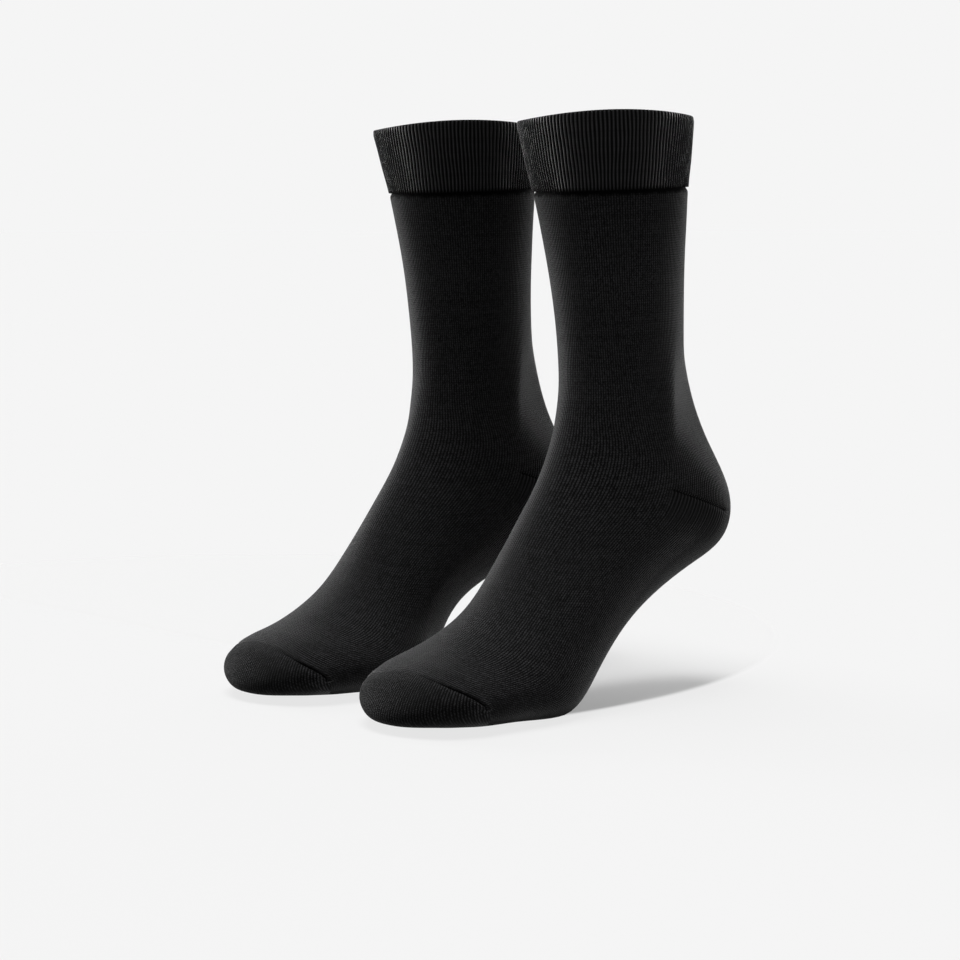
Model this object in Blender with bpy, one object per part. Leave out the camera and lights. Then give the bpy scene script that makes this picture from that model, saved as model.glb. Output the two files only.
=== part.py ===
# A pair of knitted crew socks, filled out as if worn, standing on the balls of the feet with the
# heels raised. Each sock is a tube of cloth in six stretches: cuff, leg, heel pocket, foot, forefoot
# and toe cap. Foot and forefoot are one stretch of knitting, divided only where it bends most.
#
# The origin is midway between the two cuff openings, where the wearer's legs hold the pair up.
# +Z is up, the toes point along -Y, and the left sock is on +X. The tables are in millimetres.

from collections import namedtuple
import math

import bmesh
import bpy
from mathutils import Vector
import numpy as np

MM = 0.001

# Where the pair stands.
SOCK_SPACING = 119.0      # between the middle lines of the two socks
TOE_IN = {"left": 1.25, "right": 0.4}        # degrees that its toes turn towards the other's
OPENING_BACK = 29.5       # the middle of a cuff opening, behind the zero of the tables
OPENING_HEIGHT = 310.0    # the same point above the ground

# Sections from the cuff down to the tip of the toes. Each one is a flat ring across the sock. It
# runs from a front point, on the shin or instep, to a back point, on the calf, heel or sole, given
# as distance back and height above the ground. It reaches out to its own width on the outer and
# the inner side of the foot. Its back half is squarer than an ellipse where its exponent is over 2.
Section = namedtuple(
    "Section", "name front_y front_z back_y back_z outer inner outer_square inner_square"
)
SECTIONS = [
    Section("cuff top", -15.5, 308.5, 74.5, 311.5, 47.5, 47.5, 2.0, 2.0),
    Section("cuff foot", -7.5, 269.0, 76.0, 272.5, 39.5, 40.5, 2.0, 2.0),
    Section("calf", -1.0, 235.0, 77.0, 237.0, 34.0, 34.5, 2.0, 2.0),
    Section("shin", 3.0, 207.0, 78.0, 206.0, 31.5, 31.0, 2.0, 2.0),
    Section("over the ankle", 5.5, 184.0, 81.0, 178.0, 31.0, 30.0, 2.0, 2.1),
    Section("ankle", 5.5, 166.0, 87.5, 154.0, 32.0, 30.0, 2.0, 2.1),
    Section("under the ankle", 3.0, 152.0, 99.0, 133.0, 33.0, 31.5, 2.0, 2.0),
    Section("heel", -1.0, 138.5, 115.5, 104.0, 34.0, 34.5, 2.1, 2.0),
    Section("under the heel", -9.0, 121.5, 111.0, 81.5, 34.5, 35.0, 2.2, 2.1),
    Section("heel front", -20.5, 104.5, 86.5, 68.0, 33.5, 34.0, 2.2, 2.2),
    Section("arch", -32.0, 88.0, 57.0, 56.0, 33.5, 32.5, 2.4, 2.1),
    Section("waist", -43.5, 71.5, 29.0, 41.5, 36.0, 32.0, 2.8, 1.7),
    Section("instep", -59.5, 54.5, 5.5, 17.5, 38.5, 34.5, 2.75, 1.95),
    Section("ball back", -77.0, 43.5, -16.0, -2.0, 42.0, 42.0, 2.6, 2.5),
    Section("ball", -93.5, 36.5, -49.5, -1.5, 42.0, 44.5, 2.6, 2.5),
    Section("toe root", -107.0, 31.0, -79.0, 0.0, 40.5, 41.0, 2.7, 2.5),
    Section("toes", -117.5, 22.5, -102.5, 1.5, 34.5, 34.0, 2.5, 2.5),
    Section("tip", -127.5, 15.0, -118.5, -1.0, 29.0, 28.5, 2.4, 2.4),
]
TOE_ROUNDING = 22.0       # the last stretch of the middle line, over which the toe closes
RIM_BOW = 2.0             # the rim rises and falls by this much, twice round the opening
RIM_HIGH = {"left": 50.0, "right": -50.0}    # degrees round from the front to a high point
RIM_DROP = {"left": 0.0, "right": 2.0}       # the right cuff is drawn down this much

# Where each stretch ends, measured down the middle line of the sock.
CUFF_HEIGHT = 40.0
GORE_COURSE = 201.5       # the heel's gore line, and the end of the leg over the instep
HEEL_RISE = 22.0          # the heel pocket's reach above the gore line, at the back
HEEL_DROP = 26.0          # its reach past the gore line, under the heel
INSTEP_COURSE = 300.0     # where the foot ends and the forefoot begins
TOE_COURSE = 386.0        # the linked seam of the toe cap, on average
TOE_SLANT = 2.0           # the seam lies this much nearer the tip over the toes
TOE_SKEW = 4.0            # and this much nearer it on the inner side of the foot
TOE_BOW = 2.3             # it bows this much towards the tip between the top and the sides

# The cloth.
WALL = 1.2                # plain knit
HEEL_WALL = 1.4           # plaited with a second yarn
CUFF_WALL = 1.9           # double rib
CUFF_PROUD = 0.6          # the rib stands this much outside the leg
SEAM_GAP = 0.3            # between neighbouring pieces

# How finely the cloth is divided.
WALES = 28                # round the tube
HEEL_SIDE_WALE = 6        # the heel pocket starts this many wales round from the front
WALE_ANGLE = 2 * math.pi / WALES

NEAR_BLACK = (0.006, 0.006, 0.007, 1.0)


def middle_line():
    """How far down the middle line each section lies."""
    middles = np.array([((s.front_y + s.back_y) / 2, (s.front_z + s.back_z) / 2) for s in SECTIONS])
    steps = np.linalg.norm(np.diff(middles, axis=0), axis=1)
    return np.concatenate([[0.0], np.cumsum(steps)])


SECTION_DOWN = middle_line()
TIP_DOWN = SECTION_DOWN[-1]
SECTION_SIZES = np.array([section[1:] for section in SECTIONS])


def spline_bends():
    """The second derivatives at the sections of a natural cubic spline through their sizes."""
    count = len(SECTION_DOWN)
    gaps = np.diff(SECTION_DOWN)
    slopes = np.diff(SECTION_SIZES, axis=0) / gaps[:, None]
    matrix = np.eye(count)
    bends = np.zeros_like(SECTION_SIZES)
    for i in range(1, count - 1):
        matrix[i, i - 1:i + 2] = gaps[i - 1], 2 * (gaps[i - 1] + gaps[i]), gaps[i]
        bends[i] = 6 * (slopes[i] - slopes[i - 1])
    return np.linalg.solve(matrix, bends)


SECTION_BENDS = spline_bends()


def sizes_at(down):
    """A section's sizes at any distance down the middle line."""
    i = int(np.clip(np.searchsorted(SECTION_DOWN, down) - 1, 0, len(SECTION_DOWN) - 2))
    gap = SECTION_DOWN[i + 1] - SECTION_DOWN[i]
    after = (down - SECTION_DOWN[i]) / gap
    before = 1 - after
    straight = before * SECTION_SIZES[i] + after * SECTION_SIZES[i + 1]
    curved = (before**3 - before) * SECTION_BENDS[i] + (after**3 - after) * SECTION_BENDS[i + 1]
    return straight + curved * gap**2 / 6


def cloth_point(down, angle, side):
    """A point on the outside of a sock, in millimetres from the zero of the tables.

    The angle runs round from the front, over the outer side of the foot.
    """
    down = min(max(down, 0.0), TIP_DOWN)
    front_y, front_z, back_y, back_z, outer, inner, outer_square, inner_square = sizes_at(down)
    into_toe = max(0.0, 1 - (TIP_DOWN - down) / TOE_ROUNDING)
    closing = math.sqrt(1 - into_toe**2)
    on_outer_side = math.sin(angle) > 0
    width = outer if on_outer_side else inner
    exponent = 2.0
    if math.cos(angle) < 0:
        exponent = outer_square if on_outer_side else inner_square
    across = math.copysign(abs(math.sin(angle))**(2 / exponent), math.sin(angle))
    forward = math.copysign(abs(math.cos(angle))**(2 / exponent), math.cos(angle))
    x = closing * width * across
    y = (front_y + back_y) / 2 + closing * forward * (front_y - back_y) / 2
    z = (front_z + back_z) / 2 + closing * forward * (front_z - back_z) / 2
    in_cuff = max(0.0, 1 - down / CUFF_HEIGHT)
    bow = RIM_BOW * math.cos(2 * (angle - math.radians(RIM_HIGH[side])))
    z += in_cuff**2 * (bow - RIM_DROP[side])
    return Vector((x, y, max(z, 0.0)))


def tip_direction():
    """Which way the middle line points where it comes out at the tip of the toes."""
    step = sizes_at(TIP_DOWN) - sizes_at(TIP_DOWN - 1)
    return Vector((0.0, step[0] + step[2], step[1] + step[3])).normalized()


def cloth_normal(down, angle, side):
    """The outward direction of the cloth, from points close by on all four sides."""
    if down > TIP_DOWN - 0.01:
        return tip_direction()
    down = min(max(down, 0.5), TIP_DOWN - 0.2)
    along = cloth_point(down + 0.2, angle, side) - cloth_point(down - 0.2, angle, side)
    around = cloth_point(down, angle + 0.03, side) - cloth_point(down, angle - 0.03, side)
    return along.cross(around).normalized()


def round_heel(angle):
    """0 over the instep and at the ends of the heel pocket, 1 at the middle of the back."""
    end = math.cos(HEEL_SIDE_WALE * WALE_ANGLE)
    return max(0.0, (end - math.cos(angle)) / (end + 1))


# The lines between the stretches: how far down each one lies at an angle round the sock.
def rim_line(angle):
    return 0.0


def cuff_line(angle):
    return CUFF_HEIGHT


def over_heel_line(angle):
    return GORE_COURSE - HEEL_RISE * round_heel(angle)


def under_heel_line(angle):
    return GORE_COURSE + HEEL_DROP * round_heel(angle)


def instep_line(angle):
    return INSTEP_COURSE


def toe_line(angle):
    straight = TOE_COURSE + TOE_SLANT * math.cos(angle) - TOE_SKEW * math.sin(angle)
    return straight + TOE_BOW * math.sin(2 * angle)**2


def tip_line(angle):
    return TIP_DOWN


def half_gap(line, angle, side):
    """How far down or up a piece stops short of a line, so that half the seam gap is left."""
    here = cloth_point(line(angle), angle, side)
    along = cloth_point(line(angle) + 0.2, angle, side) - here
    nearby = [cloth_point(line(angle + turn), angle + turn, side) for turn in (-0.03, 0.03)]
    seam = (nearby[1] - nearby[0]).normalized()
    across_seam = (along - seam * along.dot(seam)).length / 0.2
    return SEAM_GAP / 2 / across_seam


def wales_all_round(column):
    return column * WALE_ANGLE


def wales_round_heel(column):
    """The heel pocket's first and last columns are its points, just inside its ends."""
    last = WALES - 2 * HEEL_SIDE_WALE
    point = 0.08
    column = min(max(column, point), last - point)
    return (HEEL_SIDE_WALE + column) * WALE_ANGLE


def even(share):
    return share


def finer_to_tip(share):
    return math.sin(share * math.pi / 2)


# Each stretch: its rows of faces, its wall and how far it stands proud, the lines that it runs
# between, and how its columns and rows are spread.
Stretch = namedtuple("Stretch", "name rows columns wall proud top bottom wales spread")
STRETCHES = [
    Stretch("cuff", 3, WALES, CUFF_WALL, CUFF_PROUD, rim_line, cuff_line, wales_all_round, even),
    Stretch("leg", 11, WALES, WALL, 0.0, cuff_line, over_heel_line, wales_all_round, even),
    Stretch("heel", 6, WALES - 2 * HEEL_SIDE_WALE, HEEL_WALL, 0.0,
            over_heel_line, under_heel_line, wales_round_heel, even),
    Stretch("foot", 7, WALES, WALL, 0.0, under_heel_line, instep_line, wales_all_round, even),
    Stretch("forefoot", 7, WALES, WALL, 0.0, instep_line, toe_line, wales_all_round, even),
    Stretch("toe", 7, WALES, HEEL_WALL, 0.0, toe_line, tip_line, wales_all_round, finer_to_tip),
]


def ends_of(stretch, angle, side):
    """Where the piece starts and stops, down the sock, at one angle round it."""
    start = stretch.top(angle)
    stop = stretch.bottom(angle)
    if stretch.top is not rim_line:
        start += half_gap(stretch.top, angle, side)
    if stretch.bottom is not tip_line:
        stop -= half_gap(stretch.bottom, angle, side)
    return start, stop


def flat_panel(stretch):
    """The stretch as a flat slab of cloth, from 0 to 1 across, down and through the wall."""
    panel = bmesh.new()
    bmesh.ops.create_grid(panel, x_segments=stretch.columns, y_segments=stretch.rows, size=0.5)
    bmesh.ops.translate(panel, verts=panel.verts, vec=(0.5, 0.5, 0.0))
    inside = bmesh.ops.extrude_face_region(panel, geom=list(panel.faces), use_keep_orig=True)
    inside_verts = [item for item in inside["geom"] if isinstance(item, bmesh.types.BMVert)]
    bmesh.ops.translate(panel, verts=inside_verts, vec=(0.0, 0.0, 1.0))
    return panel


def leave_ends_open(panel, closes_at_tip):
    """Takes away the slab's two long edges, which meet each other or run to a point."""
    def lies_at(face, axis, place):
        return all(abs(vert.co[axis] - place) < 1e-6 for vert in face.verts)

    ends = [face for face in panel.faces if lies_at(face, 0, 0.0) or lies_at(face, 0, 1.0)]
    if closes_at_tip:
        ends += [face for face in panel.faces if lies_at(face, 1, 1.0)]
    bmesh.ops.delete(panel, geom=ends, context="FACES")


def wrap_round_foot(panel, stretch, side):
    """Moves each vertex of the flat slab to its place in the sock's wall."""
    mirror = 1 if side == "left" else -1
    to_origin = Vector((0.0, OPENING_BACK, OPENING_HEIGHT))
    for vert in panel.verts:
        column = vert.co.x * stretch.columns
        angle = stretch.wales(column)
        start, stop = ends_of(stretch, angle, side)
        down = start + (stop - start) * stretch.spread(vert.co.y)
        at_point = stretch.wales is wales_round_heel and column in (0, stretch.columns)
        if at_point:
            down = (start + stop) / 2
        depth = stretch.proud - vert.co.z * stretch.wall
        place = cloth_point(down, angle, side) + depth * cloth_normal(down, angle, side)
        if vert.co.z < 0.5:
            place.z = max(place.z, 0.0)
        place -= to_origin
        vert.co = Vector((mirror * place.x, place.y, place.z)) * MM


def knit_material(name, roughness):
    material = bpy.data.materials.new(name)
    material.use_nodes = True
    shader = material.node_tree.nodes["Principled BSDF"]
    shader.inputs["Base Color"].default_value = NEAR_BLACK
    shader.inputs["Roughness"].default_value = roughness
    shader.inputs["Metallic"].default_value = 0.0
    material.diffuse_color = NEAR_BLACK
    return material


def knit_piece(stretch, side, stand):
    """One stretch of one sock, as a closed wall of cloth."""
    panel = flat_panel(stretch)
    leave_ends_open(panel, stretch.bottom is tip_line)
    wrap_round_foot(panel, stretch, side)
    bmesh.ops.remove_doubles(panel, verts=panel.verts, dist=0.005 * MM)
    bmesh.ops.recalc_face_normals(panel, faces=panel.faces)
    name = f"{side}_{stretch.name}"
    mesh = bpy.data.meshes.new(name)
    panel.to_mesh(mesh)
    panel.free()
    mesh.shade_smooth()
    mesh.set_sharp_from_angle(angle=math.radians(40))
    piece = bpy.data.objects.new(name, mesh)
    mesh.materials.append(knit_material(f"{name} knit", 0.9 if stretch.name == "cuff" else 0.85))
    piece.parent = stand
    bpy.context.scene.collection.objects.link(piece)


def knit_sock(side):
    """All its stretches, on an empty that places and turns the sock."""
    outward = 1 if side == "left" else -1
    stand = bpy.data.objects.new(f"{side}_sock", None)
    stand.location = (outward * SOCK_SPACING / 2 * MM, 0.0, 0.0)
    stand.rotation_euler.z = -outward * math.radians(TOE_IN[side])
    bpy.context.scene.collection.objects.link(stand)
    for stretch in STRETCHES:
        knit_piece(stretch, side, stand)


for left_over in list(bpy.data.objects):
    bpy.data.objects.remove(left_over)
knit_sock("left")
knit_sock("right")
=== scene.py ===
# A pair of fine knitted crew socks, filled out as if worn: ribbed cuff, plain leg and foot with a
# short-row heel pocket, and a linked toe. Lengths are in millimetres until a point is placed.
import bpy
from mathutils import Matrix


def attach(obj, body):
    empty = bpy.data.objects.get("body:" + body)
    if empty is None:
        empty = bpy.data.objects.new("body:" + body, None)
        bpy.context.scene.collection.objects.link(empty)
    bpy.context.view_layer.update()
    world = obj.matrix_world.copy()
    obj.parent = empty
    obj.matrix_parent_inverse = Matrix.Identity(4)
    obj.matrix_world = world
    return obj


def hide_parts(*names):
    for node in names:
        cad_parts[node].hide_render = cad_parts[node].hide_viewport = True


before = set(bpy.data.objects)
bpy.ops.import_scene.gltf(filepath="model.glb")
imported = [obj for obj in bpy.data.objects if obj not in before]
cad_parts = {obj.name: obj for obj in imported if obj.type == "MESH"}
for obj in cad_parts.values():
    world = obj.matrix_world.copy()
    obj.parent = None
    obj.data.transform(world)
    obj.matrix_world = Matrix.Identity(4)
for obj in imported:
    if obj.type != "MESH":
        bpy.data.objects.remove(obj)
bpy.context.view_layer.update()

import math

import bmesh
import bpy
import numpy as np
from mathutils import Vector

mm = 0.001
fullTurn = 2 * math.pi

# The form follows the same sections as the solids.
pair = {
    "spacing": 119.0,                          # between the middle lines of the two socks
    "toeIn": {"left": 1.25, "right": 0.4},     # degrees
    "openingBack": 29.5,                       # where the middle of a cuff opening lies
    "openingHeight": 310.0,
    "rimBow": 2.0,
    "rimHigh": {"left": 50.0, "right": -50.0},
    "rimDrop": {"left": 0.0, "right": 2.0},
    "cuffHeight": 40.0,
    "goreCourse": 201.5,                       # the suture of the heel pocket
    "toeRounding": 22.0,
    "soleRounding": 1.2,                       # how softly the cloth meets the ground
    "offGround": 0.05,
    "weld": 0.004,                             # points nearer than this are one
}

# front y, front z, back y, back z, outer, inner, outer squareness, inner squareness
sections = np.array([
    (-15.5, 308.5, 74.5, 311.5, 47.5, 47.5, 2.0, 2.0),       # cuff top
    (-7.5, 269.0, 76.0, 272.5, 39.5, 40.5, 2.0, 2.0),        # cuff foot
    (-1.0, 235.0, 77.0, 237.0, 34.0, 34.5, 2.0, 2.0),        # calf
    (3.0, 207.0, 78.0, 206.0, 31.5, 31.0, 2.0, 2.0),         # shin
    (5.5, 184.0, 81.0, 178.0, 31.0, 30.0, 2.0, 2.1),         # over the ankle
    (5.5, 166.0, 87.5, 154.0, 32.0, 30.0, 2.0, 2.1),         # ankle
    (3.0, 152.0, 99.0, 133.0, 33.0, 31.5, 2.0, 2.0),         # under the ankle
    (-1.0, 138.5, 115.5, 104.0, 34.0, 34.5, 2.1, 2.0),       # heel
    (-9.0, 121.5, 111.0, 81.5, 34.5, 35.0, 2.2, 2.1),        # under the heel
    (-20.5, 104.5, 86.5, 68.0, 33.5, 34.0, 2.2, 2.2),        # heel front
    (-32.0, 88.0, 57.0, 56.0, 33.5, 32.5, 2.4, 2.1),         # arch
    (-43.5, 71.5, 29.0, 41.5, 36.0, 32.0, 2.8, 1.7),         # waist
    (-59.5, 54.5, 5.5, 17.5, 38.5, 34.5, 2.75, 1.95),        # instep
    (-77.0, 43.5, -16.0, -2.0, 42.0, 42.0, 2.6, 2.5),        # ball back
    (-93.5, 36.5, -49.5, -1.5, 42.0, 44.5, 2.6, 2.5),        # ball
    (-107.0, 31.0, -79.0, 0.0, 40.5, 41.0, 2.7, 2.5),        # toe root
    (-117.5, 22.5, -102.5, 1.5, 34.5, 34.0, 2.5, 2.5),       # toes
    (-127.5, 15.0, -118.5, -1.0, 29.0, 28.5, 2.4, 2.4),      # tip
])
middles = (sections[:, 0:2] + sections[:, 2:4]) / 2
sectionDown = np.concatenate([[0.0], np.cumsum(np.linalg.norm(np.diff(middles, axis=0), axis=1))])
tipDown = sectionDown[-1]


def splineBends():
    # second derivatives of a natural cubic spline through the sections
    count = len(sectionDown)
    gaps = np.diff(sectionDown)
    slopes = np.diff(sections, axis=0) / gaps[:, None]
    matrix = np.eye(count)
    bends = np.zeros_like(sections)
    for i in range(1, count - 1):
        matrix[i, i - 1:i + 2] = gaps[i - 1], 2 * (gaps[i - 1] + gaps[i]), gaps[i]
        bends[i] = 6 * (slopes[i] - slopes[i - 1])
    return np.linalg.solve(matrix, bends)


sectionBends = splineBends()


def smooth(value, low, high):
    share = np.clip((value - low) / (high - low), 0, 1)
    return share * share * (3 - 2 * share)


def hump(value, middle, spread):
    return np.exp(-((value - middle) / spread)**2)


def sizesAt(down):
    i = np.clip(np.searchsorted(sectionDown, down) - 1, 0, len(sectionDown) - 2)
    gap = (sectionDown[i + 1] - sectionDown[i])[..., None]
    after = (down - sectionDown[i])[..., None] / gap
    before = 1 - after
    straight = before * sections[i] + after * sections[i + 1]
    curved = (before**3 - before) * sectionBends[i] + (after**3 - after) * sectionBends[i + 1]
    return np.moveaxis(straight + curved * gap**2 / 6, -1, 0)


def clothPoints(down, angle, side):
    # the outside of a sock; the angle runs round from the front over the outer side of the foot
    down = np.clip(down, 0.0, tipDown)
    frontY, frontZ, backY, backZ, outer, inner, outerSquare, innerSquare = sizesAt(down)
    closing = np.sqrt(1 - np.clip(1 - (tipDown - down) / pair["toeRounding"], 0, 1)**2)
    sine, cosine = np.sin(angle), np.cos(angle)
    square = np.where(cosine < 0, np.where(sine > 0, outerSquare, innerSquare), 2.0)
    across = np.sign(sine) * np.abs(sine)**(2 / square)
    forward = np.sign(cosine) * np.abs(cosine)**(2 / square)
    x = closing * np.where(sine > 0, outer, inner) * across
    y = (frontY + backY) / 2 + closing * forward * (frontY - backY) / 2
    z = (frontZ + backZ) / 2 + closing * forward * (frontZ - backZ) / 2
    bow = pair["rimBow"] * np.cos(2 * (angle - math.radians(pair["rimHigh"][side])))
    z = z + np.clip(1 - down / pair["cuffHeight"], 0, 1)**2 * (bow - pair["rimDrop"][side])
    soft = pair["soleRounding"]      # the sole flattens out softly on the ground
    z = np.where(z < soft, soft * np.exp(np.minimum(z - soft, 0) / soft), z)
    return np.stack([x, y, z], -1)


def clothNormals(down, angle, side):
    # across two short steps, one along the sock and one round it
    near = np.clip(down, 0.5, tipDown - 0.25)
    along = clothPoints(near + 0.2, angle, side) - clothPoints(near - 0.2, angle, side)
    around = clothPoints(near, angle + 0.02, side) - clothPoints(near, angle - 0.02, side)
    normals = np.cross(along, around)
    return normals / np.linalg.norm(normals, axis=-1, keepdims=True)


def toeLine(angle):
    straight = 386.0 + 2.0 * np.cos(angle) - 4.0 * np.sin(angle)
    return straight + 2.3 * np.sin(2 * angle)**2


def placed(points, side):
    # from the sections' own frame to the pair's, in metres
    outward = 1 if side == "left" else -1
    lean = -outward * math.radians(pair["toeIn"][side])
    x = outward * points[..., 0]
    y = points[..., 1] - pair["openingBack"]
    z = points[..., 2] - pair["openingHeight"]
    turnedX = x * math.cos(lean) - y * math.sin(lean) + outward * pair["spacing"] / 2
    turnedY = x * math.sin(lean) + y * math.cos(lean)
    return np.stack([turnedX, turnedY, z], -1) * mm


# what the cloth tells its material: the suture of the heel, the deep wales below it, and painted
# shading: shade, and below zero painted light
marks = ("goreLine", "goreRibs", "paintedShading")


def clothPanel(side, down, angle, depth, stitches, layers, foldRow=None):
    # a flat grid, moved onto the sock; stitches holds the map's shares above and below foldRow
    rows, columns = down.shape[0] - 1, down.shape[1] - 1
    points = clothPoints(down, angle, side) + depth[..., None] * clothNormals(down, angle, side)
    points[..., 2] = np.maximum(points[..., 2], pair["offGround"])
    points = placed(points, side)
    panel = bmesh.new()
    stitchMap = panel.loops.layers.uv.new("stitches")
    held = {name: panel.verts.layers.float.new(name) for name in marks}
    bmesh.ops.create_grid(panel, x_segments=columns, y_segments=rows, size=0.5)
    seats = [(round((v.co.y + 0.5) * rows), round((v.co.x + 0.5) * columns)) for v in panel.verts]
    panel.verts.index_update()
    for face in panel.faces:
        seatRows = [seats[vert.index][0] for vert in face.verts]
        half = stitches[1] if foldRow is not None and max(seatRows) > foldRow else stitches[0]
        for loop in face.loops:
            loop[stitchMap].uv = half[seats[loop.vert.index]]
    for vert, seat in zip(panel.verts, seats):
        vert.co = points[seat]
        for name, layer in held.items():
            vert[layer] = layers[name][seat] if name in layers else 0.0
    return panel


def finishPiece(panel, name, material, nodes, wall=None):
    bmesh.ops.remove_doubles(panel, verts=panel.verts, dist=pair["weld"] * mm)
    bmesh.ops.recalc_face_normals(panel, faces=panel.faces)
    mesh = bpy.data.meshes.new(name)
    panel.to_mesh(mesh)
    panel.free()
    mesh.shade_smooth()
    mesh.set_sharp_from_angle(angle=math.radians(60))
    mesh.materials.append(material)
    piece = bpy.data.objects.new(name, mesh)
    bpy.context.scene.collection.objects.link(piece)
    if wall is not None:
        thickness = piece.modifiers.new("cloth wall", "SOLIDIFY")
        thickness.thickness = wall * mm
        thickness.offset = -1.0
        thickness.use_even_offset = False
    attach(piece, "root")
    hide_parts(*nodes)
    return piece


def linear(hexColour):
    # sRGB hex to the linear values that a shader takes
    parts = [int(hexColour[i:i + 2], 16) / 255 for i in (1, 3, 5)]
    return [p / 12.92 if p <= 0.04045 else ((p + 0.055) / 1.055)**2.4 for p in parts] + [1.0]


def addNode(material, kind, settings=None, links=None):
    # one node, its settings, and its sockets given a value or another node's output
    node = material.node_tree.nodes.new(kind)
    for setting, value in (settings or {}).items():
        setattr(node, setting, value)
    for socket, value in (links or {}).items():
        if isinstance(value, bpy.types.NodeSocket):
            material.node_tree.links.new(value, node.inputs[socket])
        else:
            node.inputs[socket].default_value = value
    return node


# What the three knits have in common.
knit = {
    "wales": 176,              # needles round the tube
    "coursePitch": 1.25,       # mm; a real sock has 0.9, drawn coarser so that it shows
    "shade": "#000000",        # painted shade between the wales
    "streaks": 0.4,            # how much one course differs from the next in tone
    "roughness": 0.92,
    "specular": 0.06,
    "sheenRoughness": 0.25,
    "lean": 0.55,              # how far the legs of a stitch lean, as a share of its height
    "deepWales": 0.7,          # below the suture, deep-set wales to each plain one
    "deepTone": 0.7,           # of their crests
    "pinhole": 0.35,           # how much the suture lightens between its pinholes
}
mapLength = 420.0              # mm of cloth that the stitch map's height stands for


def stitchSums(look):
    # result, operation, inputs
    return [
        # each stitch is a V, two legs that lean in to the middle of its wale
        ("inWale", "FRACT", "across"),
        ("toMiddle", "MULTIPLY_ADD", "inWale", 2.0, -1.0),
        ("fromMiddle", "ABSOLUTE", "toMiddle"),
        ("slope", "MULTIPLY_ADD", "fromMiddle", knit["lean"], "down"),
        ("inLeg", "FRACT", "slope"),
        ("legTurn", "MULTIPLY", "inLeg", math.pi),
        ("leg", "SINE", "legTurn"),
        ("squared", "POWER", "fromMiddle", 2.0),
        ("rounded", "SUBTRACT", 1.0, "squared"),
        ("crest", "POWER", "rounded", look["crestPower"]),
        ("stitch", "MULTIPLY_ADD", "leg", look["stitchDepth"], 1.0 - look["stitchDepth"]),
        ("height", "MULTIPLY", "crest", "stitch"),
        ("halfWales", "MULTIPLY", "across", 2.0),
        ("wale", "FLOOR", "halfWales"),
        ("halfCourses", "MULTIPLY", "slope", 2.0),
        ("course", "FLOOR", "halfCourses"),
        ("number", "MULTIPLY_ADD", "course", 7.31, "wale"),
        # each stitch and each course takes the dye and the light a little differently
        ("lot", "NOISE", "number"),
        ("courseLot", "NOISE", "course"),
        ("dyed", "MULTIPLY_ADD", "lot", look["unlike"], 1.0 - look["unlike"] / 2),
        ("streaked", "MULTIPLY_ADD", "courseLot", knit["streaks"], 1.0 - knit["streaks"] / 2),
        ("varied", "MULTIPLY", "dyed", "streaked"),
        ("plain", "MULTIPLY", "height", "varied"),
        # the suture of the heel is a row of pinholes, with deep-set wales for some way below it,
        # their furrows in painted shade
        ("ribTurn", "MULTIPLY", "across", knit["deepWales"] * math.pi),
        ("ribSine", "SINE", "ribTurn"),
        ("ribCrest", "POWER", "ribSine", 4.0),
        ("deepTone", "MULTIPLY", "ribCrest", knit["deepTone"]),
        ("added", "SUBTRACT", "deepTone", "plain"),
        ("ribbed", "MULTIPLY_ADD", "goreRibs", "added", "plain"),
        ("pinhole", "MULTIPLY_ADD", "ribCrest", -knit["pinhole"], 1.0),
        ("stitched", "MULTIPLY", "goreLine", "pinhole"),
        ("open", "SUBTRACT", 1.0, "stitched"),
        ("shaded", "MULTIPLY", "ribbed", "open"),
        # painted shade: seams and furrows darken as if sunk into shade, and lose their bloom too;
        # below zero it paints light
        ("lit", "SUBTRACT", 1.0, "paintedShading"),
        ("tone", "MULTIPLY", "shaded", "lit"),
        ("bloom", "MULTIPLY", "lit", look["sheen"]),
        ("ribRise", "SUBTRACT", "ribCrest", "height"),
        ("relief", "MULTIPLY_ADD", "goreRibs", "ribRise", "height"),
    ]


def knitMaterial(name, acrossCount, downCount, look):
    material = bpy.data.materials.new(name)
    material.use_nodes = True
    shader = material.node_tree.nodes["Principled BSDF"]
    stitchMap = addNode(material, "ShaderNodeUVMap", {"uv_map": "stitches"})
    scaled = addNode(material, "ShaderNodeMapping", None,
                     {"Vector": stitchMap.outputs[0], "Scale": (acrossCount, downCount, 1.0)})
    split = addNode(material, "ShaderNodeSeparateXYZ", None, {0: scaled.outputs[0]})
    made = {"across": split.outputs[0], "down": split.outputs[1]}
    for mark in marks:
        attribute = addNode(material, "ShaderNodeAttribute", {"attribute_name": mark})
        made[mark] = attribute.outputs["Fac"]

    for result, operation, *inputs in stitchSums(look):
        links = {i: made.get(value, value) for i, value in enumerate(inputs)}
        if operation == "NOISE":
            node = addNode(material, "ShaderNodeTexWhiteNoise", {"noise_dimensions": "1D"},
                           {"W": links[0]})
        else:
            node = addNode(material, "ShaderNodeMath", {"operation": operation}, links)
        made[result] = node.outputs["Value"]

    # the colour runs from black, painted shade between the wales, to the yarn on the crests
    colour = addNode(material, "ShaderNodeMix", {"data_type": "RGBA"},
                     {0: made["tone"], 6: linear(knit["shade"]), 7: linear(look["yarn"])})
    bump = addNode(material, "ShaderNodeBump", None,
                   {"Height": made["relief"], "Strength": 1.0, "Distance": look["bump"] * mm})
    material.node_tree.links.new(colour.outputs[2], shader.inputs["Base Color"])
    material.node_tree.links.new(bump.outputs[0], shader.inputs["Normal"])
    material.node_tree.links.new(made["bloom"], shader.inputs["Sheen Weight"])
    shader.inputs["Roughness"].default_value = knit["roughness"]
    shader.inputs["Specular IOR Level"].default_value = knit["specular"]
    shader.inputs["Sheen Roughness"].default_value = knit["sheenRoughness"]
    return material


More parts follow.
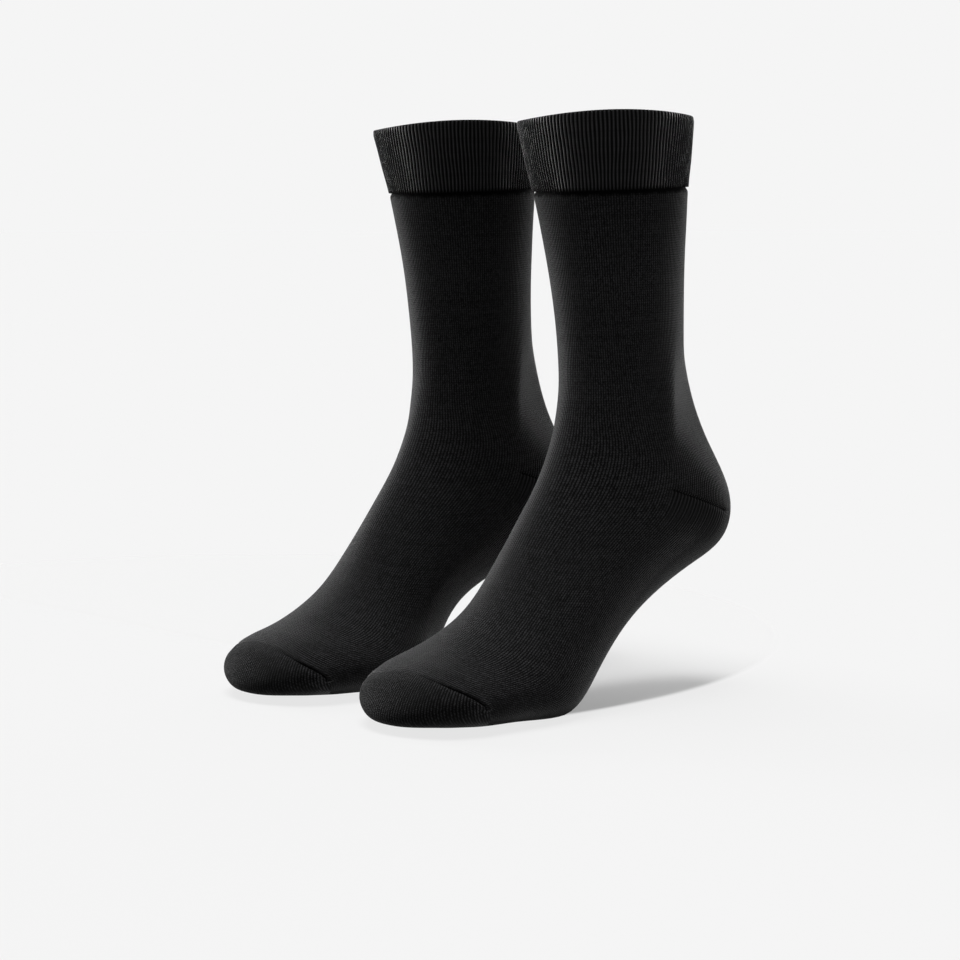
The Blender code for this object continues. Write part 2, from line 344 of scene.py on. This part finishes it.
# The cuff is a rib that stands just proud of the leg.
cuff = {
    "ribs": 136,
    "ribHeight": 0.34,         # either side of the middle of the cloth
    "ribRoundness": 0.8,       # under 1 widens the crests
    "columnsToRib": 8,
    "wall": 1.9,
    "proud": 0.45,
    "foot": 38.9,              # where the rib ends, over the groove above the leg
    "wander": 0.7,             # how far a rib strays from straight, in radians of its wave
    "drawnIn": (0.5, 0.55),    # at its rim and at its foot
    "lining": 1.4,             # how far the inside swells inwards at its foot
    "bump": 0.1,               # mm
    "yarn": "#2b2b2c",
    "unlike": 0.1,             # how much one stitch differs from the next in tone
    "stitchDepth": 0.2,
    "crestPower": 5.0,
    "sheen": 0.95,
    "footShade": (36.6, 38.3),  # painted shade: it darkens to black between these, over the groove
    "insideShade": 0.75,       # painted shade: the share of the light that the inside goes without
}
courses = mapLength / knit["coursePitch"]
# The same combed cotton with polyamide as the leg, in a rib: each crest a column of stitches that
# catches the light, each furrow darkened with painted shade.
ribKnit = knitMaterial("black cotton rib knit", cuff["ribs"], courses, cuff)


def cuffProfile():
    # one closed section of cloth: up the inside, over the rim, down the outside, under the foot
    half, outerFace = cuff["wall"] / 2, cuff["proud"]
    innerFace, middle = outerFace - cuff["wall"], outerFace - half
    profile = [(cuff["foot"], innerFace + 0.35)]
    profile += [(at, innerFace) for at in np.linspace(cuff["foot"] - 0.5, half, 9)]
    for turn in np.linspace(0, math.pi, 8)[1:-1]:
        profile.append((half - half * math.sin(turn), middle - half * math.cos(turn)))
    profile += [(at, outerFace) for at in np.linspace(half, 35.0, 15)]
    turnedIn = [(2.2, 0.0), (0.9, 0.0), (0.0, 0.02), (0.0, half + 0.05)]
    profile += [(cuff["foot"] - above, outerFace - under) for above, under in turnedIn]
    return np.array(profile + profile[:1])


def makeCuff(side):
    profile = cuffProfile()
    columns = cuff["ribs"] * cuff["columnsToRib"]
    down, angle = np.meshgrid(profile[:, 0], np.linspace(0, fullTurn, columns + 1), indexing="ij")
    depth = np.repeat(profile[:, 1:2], columns + 1, axis=1)
    outside = smooth(depth, cuff["proud"] - cuff["wall"], cuff["proud"])
    # the ribs wander a little, and are lower on the inside and at the rim
    stray = np.sin(3 * angle + down / 9) + 0.6 * np.sin(7 * angle - down / 6)
    stray = cuff["wander"] * (stray + 0.4 * np.sin(19 * angle + down / 3))
    wave = 2 * ((np.cos(cuff["ribs"] * angle + stray) + 1) / 2)**cuff["ribRoundness"] - 1
    ribHeight = cuff["ribHeight"] * (0.4 + 0.6 * outside) * (0.6 + 0.4 * smooth(down, 0, 3))
    depth = depth + ribHeight * wave * np.where(outside > 0.5, 1, -1)
    atRim, atFoot = cuff["drawnIn"]
    drawnIn = atFoot * smooth(down, 22, 39) + atRim * (1 - smooth(down, 0, 4))
    swollen = cuff["lining"] * smooth(down, 33.5, 38.4)
    depth = depth - drawnIn * outside - swollen * (1 - outside)
    steps = np.linalg.norm(np.diff(profile, axis=0), axis=1)
    run = np.repeat(np.concatenate([[0.0], np.cumsum(steps)])[:, None], columns + 1, axis=1)
    share = np.stack([(angle + (stray + math.pi) / cuff["ribs"]) / fullTurn, run / mapLength], -1)
    # painted shade: the furrows sink into it furthest up over the groove, and the inside darkens
    # too
    paintedShading = smooth(down - 0.7 * wave, *cuff["footShade"]) * outside
    paintedShading = paintedShading + cuff["insideShade"] * (1 - outside)
    panel = clothPanel(side, down, angle, depth, (share, share), {"paintedShading": paintedShading})
    piece = finishPiece(panel, f"{side}RibCuff", ribKnit, [f"{side}_cuff"])
    return piece


# The leg, the heel pocket and the foot are one knitted tube.
tube = {
    "columns": 352,
    "wall": 1.2,
    "belowRib": 0.2,           # the leg's edge lies just under the rib, whose lining hides it
    "cuffGroove": 1.6,         # how deep the cloth dips under the cuff
    "goreGroove": 0.9,
    "goreReach": 24.0,         # how far below the suture the wales lie deep
    "suture": (82.0, 129.0),   # degrees round from the front between which it runs
    "toeGroove": 1.4,
    "toeSeamEnd": 89.5,        # degrees round from the front
    "pucker": 0.9,             # how high the cloth draws up round the seam's last stitch
    "ankleHollow": 3.2,        # beside the tendon
    "ankleBone": 0.8,
    "unevenness": 0.22,
    "bump": 0.24,              # mm
    "yarn": "#2a2a2b",
    "unlike": 1.5,
    "stitchDepth": 0.85,
    "crestPower": 1.9,
    "sheen": 0.26,
    "groundShade": 9.0,        # how high the painted shade above the ground reaches
    "heelShade": 0.5,          # painted shade: the back of the heel is darker, and has less bloom
    "topShade": 0.3,           # painted shade below the cuff
    "seamShade": 0.35,         # painted shade below the ends of the toe seam
    "nodes": ["leg", "heel", "foot", "forefoot"],
}
legTop = cuff["foot"] + tube["belowRib"]
# Combed cotton with polyamide, dyed black and knitted fine: very dark and matt face on, with a thin
# bloom of fibre ends that lightens it where it turns away.
plainKnit = knitMaterial("black cotton plain knit", knit["wales"], courses, tube)


def degreesRound(angle):
    # from the front, either way
    return np.degrees(np.abs((angle + math.pi) % fullTurn - math.pi))


def alongSuture(angle):
    # 1 where the suture of the heel pocket runs, 0 elsewhere
    fromFront = degreesRound(angle)
    start, end = tube["suture"]
    return smooth(fromFront, start - 2, start + 2) * (1 - smooth(fromFront, end - 4, end + 2))


def seamDepth(angle):
    # the linked seam is faint over the toes and deepest at its two ends
    fromFront = degreesRound(angle)
    shut = smooth(fromFront, tube["toeSeamEnd"] - 1, tube["toeSeamEnd"] + 1)
    return (1 - shut) * (0.05 + 0.45 * smooth(fromFront, 14, 34) + 0.5 * smooth(fromFront, 34, 60))


def beyondSeam(angle):
    # where the toe cap and the foot run into each other, below the seam's ends
    return smooth(degreesRound(angle), tube["toeSeamEnd"] - 4, tube["toeSeamEnd"] + 6)


def seamPucker(angle, away):
    # where the seam ends, the cloth draws up into a small ridge round the last stitch
    halfWidth = 36.0      # of the foot there
    pastEnd = halfWidth * np.radians(degreesRound(angle) - tube["toeSeamEnd"] - 1)
    fromEnd = np.hypot(np.maximum(pastEnd, 0), away)
    return tube["pucker"] * hump(fromEnd, 2.1, 1.2) * smooth(pastEnd, -8, -1)


def ringShares(points):
    # how far round each ring a point lies, so that the wales are even; front and back stay put
    steps = np.linalg.norm(np.diff(points, axis=1), axis=-1)
    run = np.concatenate([np.zeros((len(points), 1)), np.cumsum(steps, axis=1)], axis=1)
    back = points.shape[1] // 2
    first = run[:, :back] / run[:, back:back + 1] / 2
    toBack = run[:, back:back + 1]
    second = 0.5 + (run[:, back:] - toBack) / (run[:, -1:] - toBack) / 2
    return np.concatenate([first, second], axis=1)


def groundShade(points, reach):
    # painted shade: the side of the foot darkens down towards the ground, most of all where it
    # meets it
    height = points[..., 2]
    return 0.75 * (1 - smooth(height, 0.3 * reach, reach)) + 0.25 * (1 - smooth(height, 2, 15))


def tubeGrid():
    # rows close together under the cuff, at the suture and at the toe seam
    gore = pair["goreCourse"]
    nearCuff = legTop + np.array([0, 0.4, 0.8, 1.2, 1.7, 2.3, 3.2, 4.4])
    leg = np.linspace(legTop + 7, 176, 34)
    heelTop = np.linspace(176, gore - 1.6, 12)[1:]
    nearGore = gore + np.array([-1.0, -0.6, -0.3, 0, 0.3, 0.6, 1.0, 1.6, 2.6])
    heelFoot = np.linspace(gore + 4, 240, 14)
    foot = np.linspace(240, 374, 34)[1:]
    upper = np.concatenate([nearCuff, leg, heelTop, nearGore, heelFoot, foot])
    angle = np.linspace(0, fullTurn, tube["columns"] + 1)
    beforeSeam = np.array([5.5, 4.0, 3.0, 2.2, 1.6, 1.2, 0.9, 0.6, 0.35, 0.15, 0.04])
    end = toeLine(angle)[None, :] - beforeSeam[:, None]
    down = np.concatenate([np.repeat(upper[:, None], len(angle), axis=1), end])
    goreRow = int(np.flatnonzero(upper == gore)[0])
    return down, np.repeat(angle[None, :], len(down), axis=0), goreRow


def tubeDepth(down, angle, toGore, toSeam):
    # the grooves at the cuff, the suture and the seam, and the ridge round the seam's ends
    depth = -tube["cuffGroove"] * hump(down, legTop - 0.3, 1.6)
    depth = depth - tube["goreGroove"] * alongSuture(angle) * hump(toGore, 0, 0.8)
    depth = depth - tube["toeGroove"] * seamDepth(angle) * hump(toSeam, 0, 0.7)
    depth = depth + seamPucker(angle, toSeam)
    # hollows beside the tendon, behind the ankle bones, and a little unevenness
    fromFront = degreesRound(angle)
    brink = 100 - 0.42 * (down - 140)      # degrees round to where the hollow starts
    hollow = np.clip(1 - ((fromFront - brink - 25) / 25)**2, 0, 1)**1.2
    depth = depth - tube["ankleHollow"] * hollow * hump(down, 149, 25)
    depth = depth + tube["ankleBone"] * hump(fromFront, brink - 6, 8) * hump(down, 155, 24)
    drift = np.sin(down / 19 + 2 * angle) + np.sin(down / 31 - 3 * angle + 1)
    drift = (drift + np.sin(down / 11 + angle + 2)) * smooth(toSeam, 2, 25) * smooth(down, 44, 60)
    return depth + tube["unevenness"] / 3 * drift


def tubeStitches(points, run, angle, goreRow):
    # courses are counted down from the cuff as far as the suture, and up from the toe below it
    around = ringShares(points)
    fromToe = run[-1] - run
    whole = run[goreRow, 0] + fromToe[goreRow, 0]
    natural = (whole - run[goreRow]) / fromToe[goreRow]
    pocketFrom = tube["suture"][0]
    intoPocket = smooth(degreesRound(angle[0]), pocketFrom - 2, pocketFrom + 35)
    stretch = natural + (1 - natural) * intoPocket
    above = np.stack([around, run / mapLength], -1)
    below = np.stack([around, (whole - fromToe * stretch[None, :]) / mapLength], -1)
    return above, below


def tubeShade(points, down, angle, toSeam):
    # painted shade under the cuff, on the heel, below and along the toe seam, and towards the
    # ground
    edge = 0.35 * np.sin(23 * angle) + 0.3 * np.sin(57 * angle + 1)
    paintedShading = 1 - smooth(down + edge, legTop + 1.0, legTop + 2.9)
    paintedShading = paintedShading + tube["topShade"] * (1 - smooth(down, legTop, 85))
    paintedShading = paintedShading + tube["heelShade"] * smooth(degreesRound(angle), 80, 115) * hump(down, 202, 30)
    paintedShading = paintedShading + tube["seamShade"] * beyondSeam(angle) * (1 - smooth(toSeam, 0, 22))
    paintedShading = paintedShading + seamDepth(angle) * hump(toSeam, 0, 0.8)
    return np.minimum(paintedShading + groundShade(points, tube["groundShade"]), 1)


def makeTube(side):
    down, angle, goreRow = tubeGrid()
    points = clothPoints(down, angle, side)
    # distances along each wale, from which the courses are counted
    steps = np.linalg.norm(np.diff(points, axis=0), axis=-1)
    run = np.concatenate([np.zeros((1, down.shape[1])), np.cumsum(steps, axis=0)])
    toGore, toSeam = run - run[goreRow], toeLine(angle) - down
    depth = tubeDepth(down, angle, toGore, toSeam)
    stitches = tubeStitches(points, run, angle, goreRow)
    ribs = np.where(toGore < 0, 0, np.clip(1 - toGore / tube["goreReach"], 0, 1))
    layers = {"goreLine": alongSuture(angle) * hump(toGore, 0, 1.0),
              "goreRibs": alongSuture(angle) * ribs,
              "paintedShading": tubeShade(points, down, angle, toSeam)}
    panel = clothPanel(side, down, angle, depth, stitches, layers, goreRow)
    nodes = [f"{side}_{part}" for part in tube["nodes"]]
    piece = finishPiece(panel, f"{side}LegAndFoot", plainKnit, nodes, tube["wall"])
    return piece


# The toe cap is knitted round the toes and linked to the foot over the top.
toeCap = {
    "wall": 1.4,
    "rows": 34,
    "coursePitch": 1.45,       # mm
    "walePitch": 1.6,
    "fanFrom": -35.0,          # the wales fan out from here, over the edge of the toes and down
    "fanReach": 88.0,
    "fanFall": 1.3,            # how fast the courses run down over the edge
    "bump": 0.24,              # mm
    "yarn": "#2c2c2d",
    "unlike": 1.6,
    "stitchDepth": 0.95,
    "crestPower": 3.0,
    "sheen": 0.08,
    "groundShade": 5.0,
    "tipShade": 0.5,           # painted shade, away from the seam
}
# Plaited with a second, polyamide yarn for wear: the same black, a little closer and firmer.
plaitedKnit = knitMaterial("black cotton and polyamide plaited knit",
                           mapLength / toeCap["walePitch"], mapLength / toeCap["coursePitch"],
                           toeCap)


def makeToe(side):
    columns = tube["columns"]
    angle = np.linspace(0, fullTurn, columns + 1)
    start = toeLine(angle)
    nearSeam = np.array([0.04, 0.15, 0.35, 0.6, 0.9, 1.2, 1.6, 2.2, 3.0])
    share = np.sin(np.linspace(0, math.pi / 2, toeCap["rows"] + 1)[1:])
    rest = start[None, :] + 3.0 + (tipDown - start[None, :] - 3.0) * share[:, None]
    down = np.concatenate([start[None, :] + nearSeam[:, None], rest])
    angle = np.repeat(angle[None, :], len(down), axis=0)
    fromSeam = down - start[None, :]
    depth = -tube["toeGroove"] * seamDepth(angle) * hump(fromSeam, 0, 0.7)
    depth = depth + seamPucker(angle, fromSeam)
    depth[-1] = depth[-1, 0]
    points = clothPoints(down, angle, side)
    behind = points[..., 1] - toeCap["fanFrom"]
    fan = np.arctan2(points[..., 0], -behind) * toeCap["fanReach"]
    fall = np.hypot(points[..., 0], behind) - toeCap["fanFall"] * points[..., 2]
    share = np.stack([fan, fall], -1) / mapLength
    # painted light on the raised stitches just before the seam; painted shade on the cap away from
    # it
    paintedShading = seamDepth(angle) * (hump(fromSeam, 0, 0.8) - 0.7 * hump(fromSeam, 2.6, 0.9))
    paintedShading = paintedShading + toeCap["tipShade"] * smooth(fromSeam, 0, 13)
    paintedShading = np.minimum(paintedShading + groundShade(points, toeCap["groundShade"]), 1)
    # painted light on the cap below the seam's ends, where it runs into the foot
    paintedShading = paintedShading - 0.7 * beyondSeam(angle) * hump(fromSeam, 0, 7)
    panel = clothPanel(side, down, angle, depth, (share, share), {"paintedShading": paintedShading})
    piece = finishPiece(panel, f"{side}ToeCap", plaitedKnit, [f"{side}_toe"],
                        toeCap["wall"])
    return piece


for side in ("left", "right"):
    print("knitting the", side, "sock")
    makeCuff(side)
    makeTube(side)
    makeToe(side)

# The camera looks at the near sock from its outer side, a little from the front and from above.
view = {
    "lens": 95.4,
    "sensor": 36.0,
    "place": (1.0214, -0.9490, -0.0538),     # m
    "azimuth": 48.17,          # degrees
    "down": 5.88,
    "clipEnd": 200.0,
}
# A pale floor, an even pale surround and a soft light overhead.
studio = {
    "surround": "#f5f5f5",     # behind the socks
    "dimSurround": "#646464",  # above, beside and in front of them
    "dimFrom": (0.5, -0.1),    # how far ahead of the camera one turns to the other
    "softLights": {            # to the right in the camera's view, behind, up; half width; strength
        "left": ((-0.78, 0.63, 0.15), 24, 16.0),
        "right": ((0.42, 0.9, 0.2), 16, 8.5),
    },
    "openFloor": ("#454545", 0.772),     # colour, and glow: painted light that lifts it to the surround's tone and fills in shadows
    "shadedFloor": ("#8c8c8c", 0.290),   # behind the balls of the feet, where shadows are deep
    "shadeMiddle": (-0.268, -0.020),     # m; the shaded floor ends on an arc round here
    "shadeReach": (0.348, 0.355),        # m; the arc's inner and outer radius
    "shadeFront": (-0.045, -0.075),      # m; it fades out forwards between these
    "overhead": 5.0,
    "overheadSpread": 34,      # degrees
    "overheadTilt": (6.5, -2.6),
    "floorHalfWidth": 40.0,    # m
}


def makeSurround():
    # a pale surround with two soft lights beside and behind the socks
    turned = math.radians(view["azimuth"])
    toRight = Vector((math.cos(turned), math.sin(turned), 0.0))
    toBack = Vector((-math.sin(turned), math.cos(turned), 0.0))
    world = bpy.data.worlds.new("pale surround")
    bpy.context.scene.world = world
    world.use_nodes = True
    direction = addNode(world, "ShaderNodeTexCoord").outputs["Generated"]
    ahead = addNode(world, "ShaderNodeVectorMath", {"operation": "DOT_PRODUCT"},
                    {0: direction, 1: toBack})
    dimFrom, dimTo = studio["dimFrom"]
    share = addNode(world, "ShaderNodeMapRange", {"interpolation_type": "SMOOTHSTEP"},
                    {"Value": ahead.outputs["Value"], 1: dimFrom, 2: dimTo})
    surround, dimSurround = linear(studio["surround"]), linear(studio["dimSurround"])
    tone = addNode(world, "ShaderNodeMix", {"data_type": "RGBA"},
                   {0: share.outputs[0], 6: surround, 7: dimSurround}).outputs[2]
    for (right, back, up), halfWidth, strength in studio["softLights"].values():
        towards = (toRight * right + toBack * back + Vector((0.0, 0.0, up))).normalized()
        near = addNode(world, "ShaderNodeVectorMath", {"operation": "DOT_PRODUCT"},
                       {0: direction, 1: towards})
        edge, core = math.cos(math.radians(halfWidth)), math.cos(math.radians(halfWidth / 2))
        patch = addNode(world, "ShaderNodeMapRange", {"interpolation_type": "SMOOTHSTEP"},
                        {"Value": near.outputs["Value"], 1: edge, 2: core, 4: strength})
        tone = addNode(world, "ShaderNodeVectorMath", None,
                       {0: tone, 1: patch.outputs[0]}).outputs[0]
    # the lights are out of sight, so that from every side the socks stand before an even surround
    seen = addNode(world, "ShaderNodeLightPath").outputs["Is Camera Ray"]
    tone = addNode(world, "ShaderNodeMix", {"data_type": "RGBA"}, {0: seen, 6: tone, 7: surround})
    background = world.node_tree.nodes["Background"]
    world.node_tree.links.new(tone.outputs[2], background.inputs["Color"])


def floorPaint():
    # Matt, with a painted-light glow that lifts it to the surround's tone, so that no horizon shows
    # and only the shadows behind the balls of the feet, where it glows less, stand out.
    paint = bpy.data.materials.new("matt pale floor paint")
    paint.use_nodes = True
    shader = paint.node_tree.nodes["Principled BSDF"]
    where = addNode(paint, "ShaderNodeTexCoord").outputs["Object"]
    middle = Vector((*studio["shadeMiddle"], -pair["openingHeight"] * mm))
    away = addNode(paint, "ShaderNodeVectorMath", {"operation": "DISTANCE"}, {0: where, 1: middle})
    innerRadius, outerRadius = studio["shadeReach"]
    beyond = addNode(paint, "ShaderNodeMapRange", {"interpolation_type": "SMOOTHSTEP"},
                     {"Value": away.outputs["Value"], 1: innerRadius, 2: outerRadius})
    back = addNode(paint, "ShaderNodeSeparateXYZ", None, {0: where})
    shadeFrom, shadeTo = studio["shadeFront"]
    ahead = addNode(paint, "ShaderNodeMapRange", {"interpolation_type": "SMOOTHSTEP"},
                    {"Value": back.outputs[1], 1: shadeFrom, 2: shadeTo})
    openShare = addNode(paint, "ShaderNodeMath", {"operation": "MAXIMUM"},
                        {0: beyond.outputs[0], 1: ahead.outputs[0]}).outputs[0]
    (shadedColour, shadedGlow), (openColour, openGlow) = studio["shadedFloor"], studio["openFloor"]
    colour = addNode(paint, "ShaderNodeMix", {"data_type": "RGBA"},
                     {0: openShare, 6: linear(shadedColour), 7: linear(openColour)})
    glow = addNode(paint, "ShaderNodeMix", {"data_type": "FLOAT"},
                   {0: openShare, 2: shadedGlow, 3: openGlow})
    paint.node_tree.links.new(colour.outputs[2], shader.inputs["Base Color"])
    paint.node_tree.links.new(glow.outputs[0], shader.inputs["Emission Strength"])
    shader.inputs["Roughness"].default_value = 1.0
    shader.inputs["Specular IOR Level"].default_value = 0.0
    shader.inputs["Emission Color"].default_value = (1.0, 1.0, 1.0, 1.0)
    return paint


def makeFloor():
    ground = bmesh.new()
    bmesh.ops.create_grid(ground, x_segments=1, y_segments=1, size=studio["floorHalfWidth"])
    bmesh.ops.translate(ground, verts=ground.verts, vec=(0.0, 0.0, -pair["openingHeight"] * mm))
    mesh = bpy.data.meshes.new("paleFloor")
    ground.to_mesh(mesh)
    ground.free()
    mesh.materials.append(floorPaint())
    floor = bpy.data.objects.new("paleFloor", mesh)
    bpy.context.scene.collection.objects.link(floor)


def makeOverhead():
    sun = bpy.data.lights.new("overhead", "SUN")
    sun.energy = studio["overhead"]
    sun.angle = math.radians(studio["overheadSpread"])
    lamp = bpy.data.objects.new("overhead", sun)
    tiltX, tiltY = studio["overheadTilt"]
    lamp.rotation_euler = (math.radians(tiltX), math.radians(tiltY), 0.0)
    bpy.context.scene.collection.objects.link(lamp)


def makeCamera():
    camera = bpy.data.cameras.new("camera")
    camera.lens = view["lens"]
    camera.sensor_width = view["sensor"]
    camera.clip_end = view["clipEnd"]
    eye = bpy.data.objects.new("camera", camera)
    eye.location = view["place"]
    eye.rotation_euler = (math.radians(90 - view["down"]), 0.0, math.radians(view["azimuth"]))
    bpy.context.scene.collection.objects.link(eye)
    bpy.context.scene.camera = eye


print("setting up the studio")
makeSurround()
makeFloor()
makeOverhead()
makeCamera()
bpy.context.scene.view_settings.view_transform = "Standard"

print("finishing")
